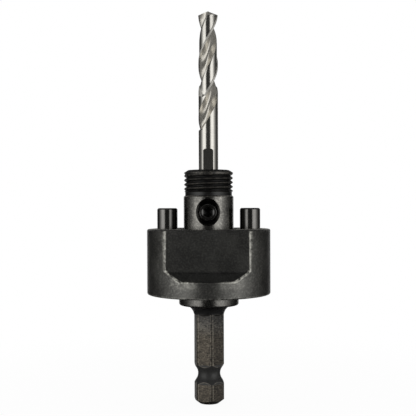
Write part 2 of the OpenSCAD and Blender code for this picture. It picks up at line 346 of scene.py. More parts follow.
def newMaterial(name):
    material = bpy.data.materials.new(name)
    material.use_nodes = True
    material.node_tree.nodes.clear()
    return material, Graph(material.node_tree)


def finishMaterial(graph, values):
    shader = graph.node("ShaderNodeBsdfPrincipled", {}, values)
    graph.node("ShaderNodeOutputMaterial", {}, {"Surface": shader})


def axes(graph, place):
    return [part * 1000.0 for part in graph.parts(place)]  # mm


def oxideSteel(name, look, zone):
    # blackened steel: cloudy oxide, fine specks, turning marks, rubbed edges and painted highlights; for
    # each spot a zone gives the shares of clean bright oxide, which also carries painted light and shade,
    # rubbed edge and painted highlight, scratches across the bar, brown tint and dull film
    material, g = newMaterial(name)
    place = g.objectPlace()
    x, y, z = axes(g, place)
    radius = (x * x + y * y).sqrt()
    cloud = g.noise(place, 170.0, 4.0)
    speck = g.noise(place, look["speck"], 3.0, 0.6)
    fleck = g.noise(place, look["speck"] * 0.45, 2.0, 0.5)
    turning = g.noise(g.vector(radius * 0.6, 0.0, z * 6.0), 1.6, 3.0, 0.6)
    lines = g.noise(g.vector(x * 0.5, y * 0.5, z * 2.4), 1.3, 3.0, 0.65)
    cleanAndPaintedLight, edge, scratch, tint, dull = zone(x, y, z, radius)
    cleanAndPaintedLight, edge = cleanAndPaintedLight.clamped(), edge.clamped()
    tone = cloud.ramp(0.35, 0.68) * 0.3 + speck.ramp(0.42, 0.72) * 0.5
    tone = tone + turning.ramp(0.35, 0.7) * look["turning"] * 0.3
    scratched = lines.ramp(0.36, 0.64) * 0.55 + speck.ramp(0.42, 0.64) * 0.5
    tone = tone * (1.0 - scratch * 0.55) + scratched * scratch
    colour = g.blendColour(tone, look["dark"], look["pale"])
    colour = g.blendColour(tint, colour, oxideTints["brown"], "MULTIPLY")
    colour = g.blendColour(cleanAndPaintedLight, look["deep"], colour)
    colour = g.blendColour(lines.ramp(0.54, 0.36) * scratch * 0.4, colour, oxideTints["scratch"])
    # rubbed wear and painted highlights both take the worn colour
    rubAndHighlight = edge * (fleck.ramp(0.34, 0.62) * 0.75 + speck.ramp(0.4, 0.66) * 0.5)
    rubAndHighlight = (rubAndHighlight + speck.ramp(0.55, 0.70) * scratch * 0.25).clamped()
    colour = g.blendColour(rubAndHighlight, colour, look["wornAndHighlight"])
    rough = cleanAndPaintedLight * (look["rough"] - look["deepRough"]) + look["deepRough"] + (speck - 0.5) * 0.16
    rough = rough + (cloud - 0.5) * 0.08 + scratch * 0.1 + dull * 0.2
    height = speck * 0.5 + fleck * 0.35 + turning * look["turning"] + lines * scratch
    bump = g.bump(height, 0.16, 0.06 * mm)
    metal = look["metal"] - rubAndHighlight * 0.4 - dull * 0.55
    finishMaterial(g, {"Base Color": colour, "Metallic": metal, "Roughness": rough, "Normal": bump})
    return material


def noFlutes(z, radius):
    return 0.0, 0.0


def brightSteel(name, look, zone=noFlutes):
    # ground steel with fine grinding rings; for each spot a zone gives the shares of flute, which is
    # streaked along its twist, and of margin, which is ground less finely
    material, g = newMaterial(name)
    place = g.objectPlace()
    x, y, z = axes(g, place)
    radius = (x * x + y * y).sqrt()
    grind = g.noise(g.vector(radius * 0.5, 0.0, z * 9.0), 1.6, 3.0, 0.6)
    cloud = g.noise(place, 260.0, 3.0)
    speck = g.noise(place, 3200.0, 3.0)
    turn = (y.angle(x) - z * (2 * math.pi / look["lead"])).wrapped(2 * math.pi)
    streak = g.noise(g.vector(radius * 2.4, turn * 5.0, z * 0.12), 1.8, 3.0)
    inFlute, margin = zone(z, radius)
    tone = grind.ramp(0.3, 0.7) * 0.5 + cloud.ramp(0.35, 0.7) * 0.3 + speck.ramp(0.4, 0.7) * 0.2
    land = g.blendColour(tone, look["bright"], look["dull"])
    flute = g.blendColour(streak.ramp(0.3, 0.7), look["bright"], look["flute"])
    colour = g.blendColour(inFlute, land, flute)
    rough = look["rough"] + (grind - 0.5) * 0.10 + (speck - 0.5) * 0.06 + inFlute * 0.07 + margin * 0.36
    height = grind * (1.0 - inFlute) + streak * inFlute
    bump = g.bump(height, 0.12, 0.04 * mm)
    metal = 1.0 - inFlute * 0.22 - margin * 0.25
    finishMaterial(g, {"Base Color": colour, "Metallic": metal, "Roughness": rough, "Normal": bump})
    return material


# rolled thread: a rule that pulls a plain cylinder's wall in along a helix

def threadTree():
    sizes = ["Radius", "Depth", "Pitch", "Crest Height", "Start", "End", "Run Out"]
    tree, g, given = ruleTree("rolledThread", sizes)
    flankShare, flankCurve = 0.46, 1.6  # half a groove's width in pitches, and the power of its wall's curve
    x, y, z = g.parts(g.node("GeometryNodeInputPosition"))
    r = (x * x + y * y).sqrt()
    a = y.angle(x)
    start, end, fade = given.out("Start"), given.out("End"), given.out("Run Out")
    phase = ((z - given.out("Crest Height")) / given.out("Pitch") - a / (2 * math.pi)).wrapped(1.0)
    cut = (abs(phase) / flankShare).least(1.0) ** flankCurve
    held = ((z - start) / fade).ramp(0.0, 1.0) * ((end - z) / fade).ramp(0.0, 1.0)
    wall = given.out("Radius") - given.out("Depth") * cut * held
    inside = z.above(start) * end.above(z)
    keep = r * (1.0 - inside) + r.least(wall) * inside
    spot = g.vector(keep * a.cos(), keep * a.sin(), z)
    shaped = g.node("GeometryNodeSetPosition", {}, {"Geometry": given, "Position": spot})
    ruleEnd(g, shaped, given)
    return tree


def threaded(thing, thread, steel, name):
    sizes = {"Radius": thread["radius"], "Depth": thread["depth"], "Pitch": thread["pitch"],
             "Crest Height": thread["crest"], "Start": thread["start"], "End": thread["end"],
             "Run Out": thread["runOut"]}
    values = {label: size * mm for label, size in sizes.items()}
    return geometryRule(thing, threadRule, {**values, "Steel": steel}, name)


threadRule = threadTree()


# spindle: shank, throat, flange, key, neck and nose in one turned bar

spindle = {
    "hexAcross": 9.0, "cornerRadius": 4.996, "hexTop": 28.5, "frontCorner": -78.0, "endRadius": 3.146,
    "endChamfer": 1.4, "grooveZ": 9.7, "grooveMin": 3.6, "grooveRound": 3.25, "grooveAngle": 32.0,
    "slopeRoot": 4.4, "throat": 4.85, "throatFillet": 3.6, "flangeZ": 31.9, "flange": 9.7, "flangeTop": 35.5,
    "key": 9.0, "keyTop": 55.5, "neck": 8.1, "neckChamfer": 0.35, "shoulder": 67.3, "relief": 7.5975,
    "thread": 7.9375, "threadZ": 68.8, "noseTop": highest("spindle"), "noseEdge": 6.6375,
    "noseChamfer": 0.8, "bore": 3.225, "boreZ": 51.0, "boreMouth": 0.52, "tipAngle": 118.0,
    "holeZ": 62.0, "hole": 3.05, "sink": 4.4, "sinkHalfAngle": 30.0,
    "ballHole": 1.8, "ballHoleEnd": 4.2, "ballZ": 49.0,
}
noseThread = {"radius": spindle["thread"], "depth": 0.72, "pitch": 1.411, "crest": 71.61, "start": 68.6,
              "end": 74.6, "runOut": 0.6}
spindleLook = {
    "deep": (0.065, 0.065, 0.064, 1), "dark": (0.13, 0.127, 0.118, 1), "pale": (0.53, 0.512, 0.465, 1),
    "wornAndHighlight": (0.50, 0.45, 0.37, 1), "rough": 0.24, "deepRough": 0.40, "metal": 1.0, "speck": 1800,
    "turning": 0.5,
}


def spindleZone(x, y, z, radius):
    s = spindle
    top, half, threadZ = s["hexTop"], s["hexAcross"] / 2, s["threadZ"]

    def facet(angle):
        t = math.radians(angle)
        return abs(x * math.cos(t) + y * math.sin(t))

    first = s["frontCorner"] + 30
    across = facet(first).most(facet(first + 60)).most(facet(first + 120))
    shank = z.ramp(top + 0.7, top + 0.4)
    # the locking groove's wall: a round bottom, and straight sides from its end angle on
    big, q = s["grooveRound"], math.radians(s["grooveAngle"])
    roundEnd = big * math.sin(q)
    dz = abs(z - s["grooveZ"])
    roundPart = s["grooveMin"] + big - (big ** 2 - dz.least(roundEnd) ** 2.0).sqrt()
    offWall = radius - (roundPart + (dz - roundEnd).most(0.0) * math.tan(q))
    groove = offWall.ramp(0.10, 0.04) * dz.ramp(3.2, 3.1)
    hexagon = shank * (1.0 - groove)
    neck = z.ramp(s["keyTop"] - 0.1, s["keyTop"] + 0.1) * z.ramp(s["shoulder"] + 0.04, s["shoulder"] - 0.02)
    flange = z.ramp(s["flangeZ"] - 0.1, s["flangeZ"] + 0.5) * z.ramp(s["flangeTop"] + 0.1, s["flangeTop"])
    throat = z.ramp(top + 0.6, top + 0.9) * z.ramp(s["flangeZ"] - 0.05, s["flangeZ"] - 0.2)
    # the wall of the countersink lies inside the neck's round
    sunk = radius.ramp(s["neck"] - 0.06, s["neck"] - 0.14) * neck
    # painted shade and light: the hexagon darkens towards the flange, in the shade under the collar, and its
    # left facets are lighter than its right ones
    cleanAndPaintedLight = hexagon * z.ramp(top + 0.1, top - 4.0, 0.12, 0.36) * x.ramp(0.0, 0.5, 1.15, 0.82) + groove * 0.05
    # painted light and shade: the neck is lighter on the right and darker on the left, following the lamps'
    # highlights
    cleanAndPaintedLight = cleanAndPaintedLight + neck * (1.0 - sunk * 0.4) * x.ramp(-1.0, 1.0, 0.86, 1.1) + flange * 0.5
    cleanAndPaintedLight = cleanAndPaintedLight + z.ramp(s["shoulder"] + 0.2, threadZ) * 0.03
    # the lines on the hexagon's corners and the throat's rim are rubbed wear and painted highlight; those
    # where the groove cuts the flats are painted highlight
    corner = across.near(half, 0.10) * radius.near(s["cornerRadius"], 0.10) * shank
    scallopHighlight = across.near(half, 0.09) * offWall.near(0.0, 0.16) * dz.ramp(3.3, 3.1)
    rimWearAndHighlight = z.near(top + 0.53, 0.12) * radius.near(s["cornerRadius"] - 0.066, 0.08)
    crest = radius.ramp(s["thread"] - 0.22, s["thread"] - 0.04) * z.ramp(threadZ - 0.2, threadZ + 0.4)
    shoulder = z.near(s["shoulder"] - 0.18, 0.28) * radius.ramp(s["neck"] - 0.4, s["neck"] - 0.3)
    edge = corner * 0.6 + scallopHighlight * 0.45 + rimWearAndHighlight * 0.3 + crest * 0.18 + shoulder * 0.25
    # the brown fades towards the flange, part of the painted shade there
    tint = hexagon * z.ramp(top - 1.5, top - 7.5, 0.25, 1.0)
    dull = groove * 0.5 + throat * 0.12 + sunk * abs(x).ramp(2.4, 3.8) * 0.6
    dull = dull + z.ramp(threadZ - 0.3, threadZ + 0.2) * 0.1 - flange * 0.3
    return cleanAndPaintedLight, edge, hexagon, tint, dull


spindleSteel = oxideSteel("blackOxideSpindle", spindleLook, spindleZone)


def spindlePath(s):
    # from the shank's end to the nose, with rows close together where the shape or the thread needs them
    top, corner = s["hexTop"], s["cornerRadius"]
    lower = roundedPath([(s["endRadius"] - 0.6, 0, 0), (s["endRadius"], 0, 0.05),
                         (corner, s["endChamfer"], 0.1), (corner, 6, 0)])
    lower = divided(lower, 0.04, 1.5, 0.09)
    lower += [(corner, z) for z in (15, 22, top - 0.002)]
    cx, cz = s["throat"] + s["throatFillet"], s["flangeZ"] - s["throatFillet"]
    first = 11.5  # degrees up the fillet to the rim that the short slope makes with it
    arc = [(cx - s["throatFillet"] * math.cos(q), cz + s["throatFillet"] * math.sin(q))
           for q in np.radians(np.linspace(first, 88, 18))]
    slope = roundedPath([(s["slopeRoot"], top, 0), (arc[0][0], arc[0][1], 0.08), arc[1] + (0,)], 4)
    slope = [slope[0]] + divided(slope, top, arc[0][1] + 0.1, 0.05)[1:]
    chamfer = s["neckChamfer"]
    upper = roundedPath([
        arc[-1], (s["flange"], s["flangeZ"], 0.7), (s["flange"], s["flangeTop"], 0.2),
        (s["key"], s["flangeTop"], 0), (s["key"], s["keyTop"], 0.3), (s["neck"], s["keyTop"], 0),
        (s["neck"], s["shoulder"] - chamfer, 0.08), (s["neck"] - chamfer, s["shoulder"], 0.08),
        (s["relief"], s["shoulder"] + 0.02, 0.04), (s["relief"], s["threadZ"] - 0.34, 0.1),
        (s["thread"], s["threadZ"], 0), (s["thread"], s["noseTop"] - s["noseChamfer"], 0),
        (s["noseEdge"], s["noseTop"], 0.1), (s["noseEdge"] - 0.8, s["noseTop"], 0)])
    upper = divided(upper, s["threadZ"] - 0.3, s["noseTop"], 0.065)
    upper = divided(upper, s["keyTop"], s["shoulder"], 1.5)
    return lower + slope[:-1] + arc[1:] + upper[1:]


def spindleShape(s):
    edgeRound = 0.035  # of the hexagon's turned corners
    slopeHeight = 0.85  # above the hexagon, where its outline runs on into the throat

    def shape(r, a, z):
        off = np.radians((np.degrees(a) - s["frontCorner"]) % 60 - 30)
        hexagon = s["hexAcross"] / 2 / np.cos(off)
        bar = softMin(np.full_like(r, s["cornerRadius"]), hexagon, edgeRound)
        inSlope = np.where(z < s["hexTop"] + slopeHeight, np.maximum(r, bar), r)
        r = np.where(z < s["hexTop"] - 0.001, np.minimum(r, bar), inSlope)
        flat = s["neck"] / np.maximum(np.abs(np.cos(a)), 0.05)
        keyed = (z >= s["flangeTop"]) & (z <= s["keyTop"]) & (r <= s["key"] + 1e-6)
        return np.where(keyed, np.minimum(r, flat), r)
    return shape


def grooveCutter(s):
    # ring with a round bottom and straight sides that leave it at the groove's angle
    q, big, outside = math.radians(s["grooveAngle"]), s["grooveRound"], 7.0
    middle = s["grooveMin"] + big
    arc = [(middle - big * math.cos(i), s["grooveZ"] + big * math.sin(i)) for i in np.linspace(-q, q, 33)]
    reach = (outside - arc[0][0]) / math.tan(q)
    path = [(outside, arc[0][1] - reach)] + arc + [(outside, arc[-1][1] + reach)]
    return turned("grooveCutter", path, evenAngles(180), ring=True)


def makeSpindle(s):
    corner = math.degrees(math.acos(s["hexAcross"] / 2 / s["cornerRadius"]))
    places = [(s["frontCorner"] + 30 + 60 * k + side * corner) % 360 for k in range(6) for side in (-1, 1)]
    plain = turned("spindleBar", spindlePath(s), tightAngles(180, places, 0.9, 0.3), spindleShape(s))
    bar = threaded(plain, noseThread, spindleSteel, "spindleThreaded")
    tip = s["bore"] / math.tan(math.radians(s["tipAngle"] / 2))
    wall, mouth, top = s["bore"], s["bore"] + s["boreMouth"], s["noseTop"]
    borePath = [(0.01, s["boreZ"] - tip), (wall, s["boreZ"]), (wall, top - 0.5), (mouth, top + 0.02),
                (mouth, top + 1)]
    bore = turned("boreCutter", borePath, evenAngles(96))
    hole, sink, neck = s["hole"], s["sink"], s["neck"]
    depth = (sink - hole) / math.tan(math.radians(s["sinkHalfAngle"]))
    screwPath = [(hole, 1.0), (hole, neck - depth), (sink + 0.02, neck), (sink + 0.9, neck + 1.5)]
    screwHole = laidAlongY(turned("screwHoleCutter", screwPath, evenAngles(120)), 90, 0, s["holeZ"])
    ballPath = [(s["ballHole"], s["ballHoleEnd"]), (s["ballHole"], 10)]
    ballHole = laidAlongY(turned("ballHoleCutter", ballPath, evenAngles(48)), -90, 0, s["ballZ"])
    # the groove comes last, because the cuts leave open edges in the other order
    made = cutAway(bar, [bore, screwHole, ballHole, grooveCutter(s)], "arborSpindle")
    smooth(made, 20)
    return made


arborSpindle = makeSpindle(spindle)
print("spindle", len(arborSpindle.data.polygons), "faces")


# drive collar

collar = {
    "bottom": lowest("drive_collar"), "top": highest("drive_collar"), "radius": 20.0, "rim": 0.5,
    "flatY": 15.2, "flatEnd": 43.9, "slopeIn": 2.85, "slopeHeight": 3.0, "edge": 0.28, "topEdge": 0.2,
    "pinX": 13.45, "pinHole": 3.33, "bore": 9.08, "boreHalf": 8.18, "boreChamfer": 0.5,
    "slotRadius": 1.85, "slotStart": 5.0, "slotDepth": 9.9, "slotLow": 38.5, "slotHigh": spindle["ballZ"],
}
collarLook = {
    "deep": (0.055, 0.057, 0.057, 1), "dark": (0.112, 0.11, 0.102, 1), "pale": (0.36, 0.355, 0.325, 1),
    "wornAndHighlight": (0.70, 0.69, 0.62, 1), "rough": 0.40, "deepRough": 0.48, "metal": 0.95, "speck": 1650,
    "turning": 0.25,
}


def collarZone(x, y, z, radius):
    c = collar
    side, front, outer, flatEnd, topZ = abs(x), abs(y), c["radius"], c["flatEnd"], c["top"]
    ledgeZ = flatEnd - c["slopeHeight"]
    # how wide the upright edges' rubbing and painted highlight are: wider towards the top, and wider on the
    # left, following the light
    wide = z.ramp(flatEnd - 0.4, topZ - 0.5, 0.75, 1.25) * x.ramp(-1.0, 1.0, 1.0, 0.78)
    uprightWearAndHighlight = ((radius - outer) / wide).near(0.0, 0.25) * (abs(front - c["flatY"]) / wide).ramp(1.15, 0.15)
    uprightWearAndHighlight = uprightWearAndHighlight * z.ramp(flatEnd - 0.5, flatEnd + 0.1)
    offFace = front - ((flatEnd - z).most(0.0) * (c["slopeIn"] / c["slopeHeight"]) + c["flatY"])
    # painted highlight along the slanted edges of the sloping face
    foot = offFace.near(0.0, 0.5) * radius.ramp(outer - 0.6, outer - 0.2)
    foot = foot * z.ramp(ledgeZ - 0.4, ledgeZ) * z.ramp(flatEnd + 0.5, flatEnd)
    # painted reflection along the ledge's edge: bright to both sides of the front, dark in the middle
    ledge = z.near(ledgeZ - 0.06, 0.32) * radius.ramp(outer - 1.8, outer - 0.6)
    ledge = ledge * side.ramp(9.6, 8.4) * side.ramp(3.0, 6.0, 0.12, 1.0)
    # painted highlight on the round just under the ledge, fading downward, with brighter specks on the left
    underLedgeHighlight = z.near(ledgeZ - 0.6, 2.2) * radius.ramp(outer - 0.3, outer - 0.05)
    underLedgeHighlight = underLedgeHighlight * side.ramp(12.5, 9.0) * side.ramp(2.0, 5.0)
    rims = z.near(topZ - 0.2, 0.5) * 0.10 + z.near(c["bottom"] + 0.25, 0.5) * 0.35
    rims = rims * radius.ramp(outer - 0.7, outer - 0.05)
    rounded = radius.ramp(outer - 0.25, outer - 0.05)
    # the sloping face is painted darker: painted shade for a face that looks down
    slope = z.ramp(flatEnd + 0.1, flatEnd - 0.1) * z.ramp(ledgeZ - 0.1, ledgeZ + 0.1)
    slope = slope * offFace.near(0.0, 0.4) * (1.0 - rounded)
    cleanAndPaintedLight = rounded * 0.25 + underLedgeHighlight * 0.4 - slope * 0.2 + 0.55
    top = z.ramp(topZ - 0.08, topZ - 0.02)
    mouth = top * radius.ramp(c["bore"] + 0.22, c["bore"] + 0.72) * front.ramp(9.0, 5.0)
    # rubbed rims and bore mouth, with painted highlights along the upright edges, the slope's edges, the
    # ledge and under it
    edge = uprightWearAndHighlight * 0.8 + foot * 1.2 + ledge * 1.1 + rims + mouth * 0.6
    edge = edge + underLedgeHighlight * x.ramp(2.0, -4.0, 0.12, 0.3)
    return cleanAndPaintedLight, edge, 0.0, 0.0, top * front.ramp(14.0, 6.0, 0.2, 0.8)


collarSteel = oxideSteel("blackOxideCollar", collarLook, collarZone)


def collarShape(c):
    ledge, lean = c["flatEnd"] - c["slopeHeight"], c["slopeIn"] / c["slopeHeight"]
    bend, ledgeRound = 0.3, 0.22  # how far the flat's bend and the ledge's edge are rounded

    def flatAt(z):
        below = np.maximum(c["flatEnd"] - z, 0)
        straight = below - bend / 2 * (below < 2 * bend)
        low = c["flatY"] + lean * np.where(below < bend, below ** 2 / (2 * bend), straight)
        d = np.clip(z - (c["top"] - c["topEdge"]), 0, c["topEdge"])
        low = low - (c["topEdge"] - np.sqrt(c["topEdge"] ** 2 - d ** 2))
        return np.where(z < ledge + 0.001, 99.0, low)

    def shape(r, a, z):
        across = np.maximum(np.abs(np.sin(a)), 0.02)
        cut = flatAt(z) / across
        foot = (c["flatY"] + c["slopeIn"]) / across
        width = np.clip(c["radius"] - foot, 0.0001, ledgeRound)
        d = np.clip(z - (ledge - width), 0, width)
        rounded = c["radius"] - (width - np.sqrt(np.maximum(width ** 2 - d ** 2, 0)))
        r = np.where((z < ledge + 0.001) & (z > ledge - 0.4), np.minimum(r, rounded), r)
        return softMin(r, cut, c["edge"])
    return shape


def ballSlot(c):
    # cutters for the closed groove that the detent ball runs in: two round ends and the middle
    cutters = []
    path = [(c["slotRadius"], c["slotStart"]), (c["slotRadius"], c["slotDepth"])]
    for z in (c["slotLow"], c["slotHigh"]):
        cutters.append(laidAlongY(turned("slotEnd", path, evenAngles(48)), -90, 0, z))
    # the middle is a hair smaller than the ends, so that no two faces lie in one place
    half, inner, outer = c["slotRadius"] * 0.9999, c["slotStart"], c["slotDepth"] - 0.0005
    box = [(side * half * mm, y * mm, z * mm)
           for z in (c["slotLow"], c["slotHigh"]) for y in (inner, outer) for side in (-1, 1)]
    faces = [(0, 2, 3, 1), (4, 5, 7, 6), (0, 1, 5, 4), (2, 6, 7, 3), (0, 4, 6, 2), (1, 3, 7, 5)]
    return cutters + [meshObject("slotMiddle", box, faces)]


def makeCollar(c):
    ledge, rim, outer = c["flatEnd"] - c["slopeHeight"], c["rim"], c["radius"]
    arc = [(math.sin(t), math.cos(t)) for t in np.radians(np.linspace(0, 90, 9))]
    low = [(outer - rim + rim * sn, c["bottom"] + rim - rim * cs) for sn, cs in arc]
    high = [(outer - rim + rim * sn, c["top"] - rim + rim * cs) for sn, cs in reversed(arc)]
    # rows close together at the ledge and over the slope, then far apart up the flat
    steps = [ledge + dz for dz in (-0.24, -0.2, -0.16, -0.12, -0.08, -0.04, -0.015, 0, 0.03)]
    steps += list(np.arange(ledge + 0.1, c["flatEnd"] + 0.3, 0.08))
    steps += list(range(46, 55, 2))
    path = low + [(outer, z) for z in steps] + high
    corner = math.degrees(math.atan2(c["flatY"], math.sqrt(outer ** 2 - c["flatY"] ** 2)))
    angles = tightAngles(200, [corner, 180 - corner, 180 + corner, 360 - corner], 2.4, 0.12)
    blank = turned("collarBlank", path, angles, collarShape(c))
    borePath = divided([(c["bore"], c["bottom"] - 2), (c["bore"], c["top"] + 2)], 0, 99, 1.0)
    bore = turned("collarBore", borePath, evenAngles(180),
                  lambda r, a, z: np.minimum(r, c["boreHalf"] / np.maximum(np.abs(np.cos(a)), 0.1)))
    lead = c["boreChamfer"]
    cutters = [bore]
    for face, out in ((c["top"], 1), (c["bottom"], -1)):
        cone = sorted([(face - out * lead, c["bore"]), (face + out * lead, c["bore"] + 2 * lead)])
        cutters.append(turned("mouthCutter", [(r, z) for z, r in cone], evenAngles(180)))
    hole, mouth, bottom, top = c["pinHole"], c["pinHole"] + 0.5, c["bottom"], c["top"]
    pinPath = [(mouth, bottom - 0.5), (hole, bottom + 0.2), (hole, top - 0.12), (mouth, top + 0.38)]
    for side in (-1, 1):
        cutter = turned("pinHole", pinPath, evenAngles(72))
        cutters.append(moved(cutter, Matrix.Translation((side * c["pinX"] * mm, 0, 0))))
    made = cutAway(cutAway(blank, cutters, "driveCollarBored"), ballSlot(c), "driveCollar")
    made.data.materials.clear()
    made.data.materials.append(collarSteel)
    smooth(made, 36)
    return made


driveCollar = makeCollar(collar)
print("collar", len(driveCollar.data.polygons), "faces")


# drive pins

pin = {"radius": 3.3, "x": collar["pinX"], "bottom": lowest("drive_pin_left"),
       "top": highest("drive_pin_left"), "edge": 0.4}
pinLook = {
    "deep": (0.02, 0.02, 0.019, 1), "dark": (0.185, 0.181, 0.17, 1), "pale": (0.285, 0.277, 0.262, 1),
    "wornAndHighlight": (0.4, 0.39, 0.36, 1), "rough": 0.16, "deepRough": 0.25, "metal": 1.0, "speck": 3200,
    "turning": 0.5,
}


def pinZone(x, y, z, radius):
    # painted shade: the side that faces the neck is darker
    cleanAndPaintedLight = z.ramp(pin["top"] + 0.1, pin["top"] - 0.7, 0.7, 1.0)
    cleanAndPaintedLight = cleanAndPaintedLight * abs(x).ramp(pin["x"] - 1.95, pin["x"] - 0.95, 0.05, 1.0)
    return cleanAndPaintedLight, z.near(pin["top"] - 0.1, 0.3) * 0.25, 0.0, 0.0, 0.0


pinSteel = oxideSteel("blackOxidePin", pinLook, pinZone)


def makePin(p, side, name):
    radius, edge, bottom, top = p["radius"], p["edge"], p["bottom"], p["top"]
    path = roundedPath([(radius - edge - 0.4, bottom, 0), (radius - edge, bottom, 0.1),
                        (radius, bottom + edge, 0.2), (radius, top - edge, 0.3),
                        (radius - edge * 0.9, top, 0.25), (radius - edge - 0.5, top, 0)], 6)
    made = turned(name, divided(path, 55, 63, 1.0), evenAngles(96), material=pinSteel)
    smooth(made, 40)
    return moved(made, Matrix.Translation((side * p["x"] * mm, 0, 0)))


leftPin = makePin(pin, -1, "drivePinLeft")
rightPin = makePin(pin, 1, "drivePinRight")
print("pins made")


# set screw

screw = {"radius": 3.0, "point": -highest("set_screw", 1), "length": 4.0, "cup": 1.5, "cone": 0.75,
         "edge": 0.4, "mouth": 2.05, "socket": 3.0, "socketDepth": 2.2, "z": spindle["holeZ"]}
screwThread = {"radius": screw["radius"], "depth": 0.5, "pitch": 1.0, "crest": 2.0, "start": 0.3, "end": 4.8,
               "runOut": 0.2}
screwLook = {
    "deep": (0.03, 0.03, 0.03, 1), "dark": (0.075, 0.074, 0.072, 1), "pale": (0.13, 0.128, 0.124, 1),
    "wornAndHighlight": (0.3, 0.29, 0.27, 1), "rough": 0.20, "deepRough": 0.35, "metal": 1.0, "speck": 3000,
    "turning": 0.2,
}


def screwZone(x, y, z, radius):
    out = ((z - screw["z"]) ** 2.0 + x * x).sqrt()
    cleanAndPaintedLight = out.ramp(1.1, 1.5) * out.ramp(screw["radius"] - 0.02, screw["radius"] - 0.2)
    return cleanAndPaintedLight, out.near(screw["radius"] - 0.5, 0.2) * 0.3, 0.0, 0.0, 0.0


screwSteel = oxideSteel("blackOxideScrew", screwLook, screwZone)


def makeScrew(s):
    radius, length, edge = s["radius"], s["length"], s["edge"]
    path = roundedPath([(0.05, 0.65, 0), (s["cup"] - 0.2, 0, 0.05), (s["cup"], 0, 0.05),
                        (radius, s["cone"], 0), (radius, length - edge, 0), (radius - edge, length, 0.28),
                        (radius - edge - 0.5, length, 0)])
    body = turned("screwBlank", divided(path, s["cone"], length, 0.06), evenAngles(120))
    body = threaded(body, screwThread, screwSteel, "screwThreaded")
    across = s["socket"] / 2 / math.cos(math.radians(30))
    floor = length - s["socketDepth"]
    socket = turned("socketCutter", [(0.05, floor - 0.8), (across * 0.93, floor), (across, floor + 0.1),
                                     (across, length + 1)], np.radians(np.arange(6) * 60 + 30))
    lean, mouth = math.tan(math.radians(30)), s["mouth"]
    leadPath = [(0.02, length - (mouth - 0.02) * lean), (mouth + 0.8, length + 0.8 * lean)]
    lead = turned("socketLead", leadPath, evenAngles(96))
    made = cutAway(body, [socket, lead], "setScrew")
    laidAlongY(made, 90, -s["point"], s["z"])
    smooth(made, 30)
    return made


setScrew = makeScrew(screw)
print("set screw made")


# pilot drill: a straight fluted rod that a rule twists, runs out and points

drill = {
    "radius": 3.175, "butt": lowest("pilot_drill"), "buttEdge": 0.3, "point": highest("pilot_drill"),
    "pointAngle": 135.0, "lipRelief": 9.0, "lipTurn": -2.4, "lead": 34.0, "fluteLength": 38.8,
    "stagger": 4.2, "runOut": 3.6, "web": 1.45, "landAngle": 88.0, "marginAngle": 12.0,
    "landClear": 0.28, "heel": 0.08, "heelAngle": 12.0, "landLength": 28.0,
    # the cleared land's lower end climbs by so many mm for each radian, from so many radians behind the lip
    "landSlant": 3.0, "slantFrom": 0.4,
    "flatY": 2.725, "flatTop": 82.45, "flatCorner": 1.0,
}
drillLook = {"bright": (0.76, 0.74, 0.68, 1), "dull": (0.62, 0.60, 0.555, 1), "flute": (0.60, 0.56, 0.49, 1),
             "rough": 0.17, "lead": drill["lead"]}


def drillZone(z, radius):
    d = drill
    fluteEnd, landEnd = d["point"] - d["fluteLength"], d["point"] - d["landLength"]
    cleared = d["radius"] - d["landClear"]
    inFlute = radius.ramp(cleared - 0.055, cleared - 0.195) * z.ramp(fluteEnd - 0.45, fluteEnd + 1.05)
    margin = radius.ramp(d["radius"] - 0.155, d["radius"] - 0.055) * z.ramp(landEnd - 0.05, landEnd + 0.35)
    return inFlute, margin * z.ramp(d["point"] - 1.25, d["point"] - 1.65)


drillSteel = brightSteel("groundDrillSteel", drillLook, drillZone)


def drillSection(d):
    # angle, radius, kind (1 on a land, 0 in a flute) of half a section, from one lip to the next
    outer, gap = d["radius"], 180 - d["landAngle"]
    cleared, pull = outer - d["landClear"], d["web"] * 0.18
    ends = [np.array([outer, 0]), onRay(pull, 20), onRay(pull, 55), onRay(cleared - d["heel"], gap)]
    rows = []
    for t in np.concatenate([[0.0, 0.012], np.linspace(0.035, 0.965, 38), [0.988]]):
        w = 1 - t
        q = w ** 3 * ends[0] + 3 * w ** 2 * t * ends[1] + 3 * w * t * t * ends[2] + t ** 3 * ends[3]
        rows.append((math.degrees(math.atan2(q[1], q[0])), float(np.hypot(*q)), 0.0))
    rows[0] = (0.0, outer, 1.0)
    last = 180 - d["marginAngle"]
    for a in np.linspace(gap, last - 1.6, 16):
        rows.append((a, cleared - d["heel"] * max(1 - (a - gap) / d["heelAngle"], 0) ** 2, 1.0))
    for a in np.linspace(last, 179.2, 5):
        rows.append((a, outer, 1.0))
    return np.array(rows)


